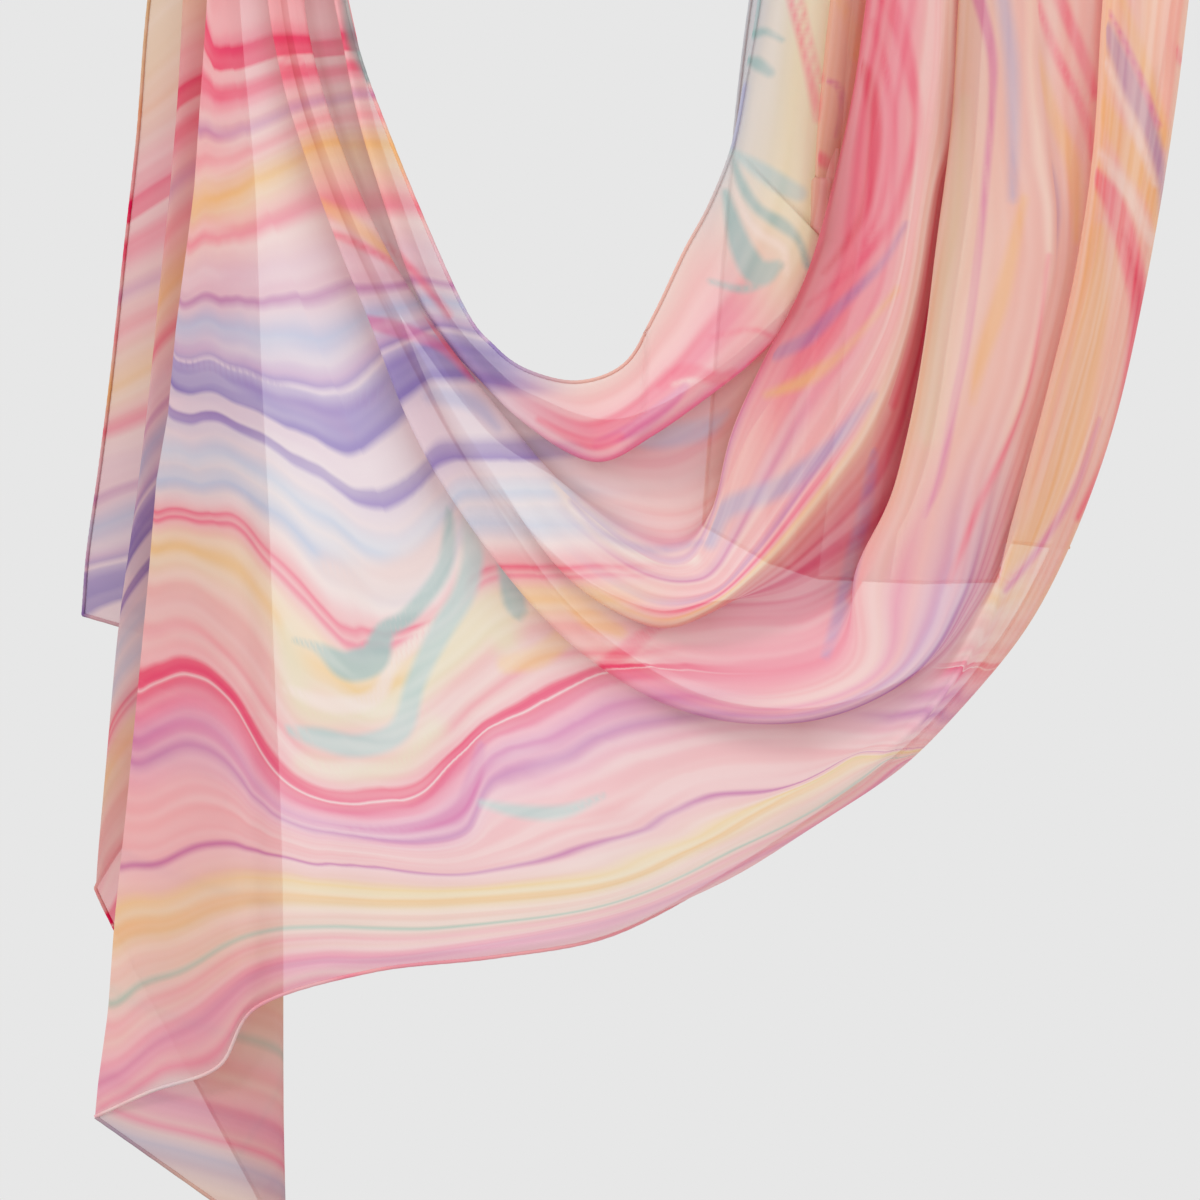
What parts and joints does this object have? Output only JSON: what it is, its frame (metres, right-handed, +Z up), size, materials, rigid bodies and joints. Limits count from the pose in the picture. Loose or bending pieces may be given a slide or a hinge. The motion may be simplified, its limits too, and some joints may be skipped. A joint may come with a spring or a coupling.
{
  "type": "chiffon scarf",
  "caption": "translucent marbled-print chiffon scarf hanging in nested cowls between two holds, its left end pleated into a tail and its right end thrown over and falling behind",
  "frame": {"origin": "point midway between the two holds, at the height where the cloth is held", "axes": "+X to the right along the swag, -Y to the front, +Z up"},
  "size_m": [0.6916, 0.1672, 0.866],
  "materials": {
    "chiffon": "sheer matt chiffon with a marbled print in pinks, cream, lilac, apricot and pale teal"
  },
  "bodies": {
    "root": {"swag": "chiffon", "tail": "chiffon", "fall": "chiffon"}
  },
  "joints": []
}
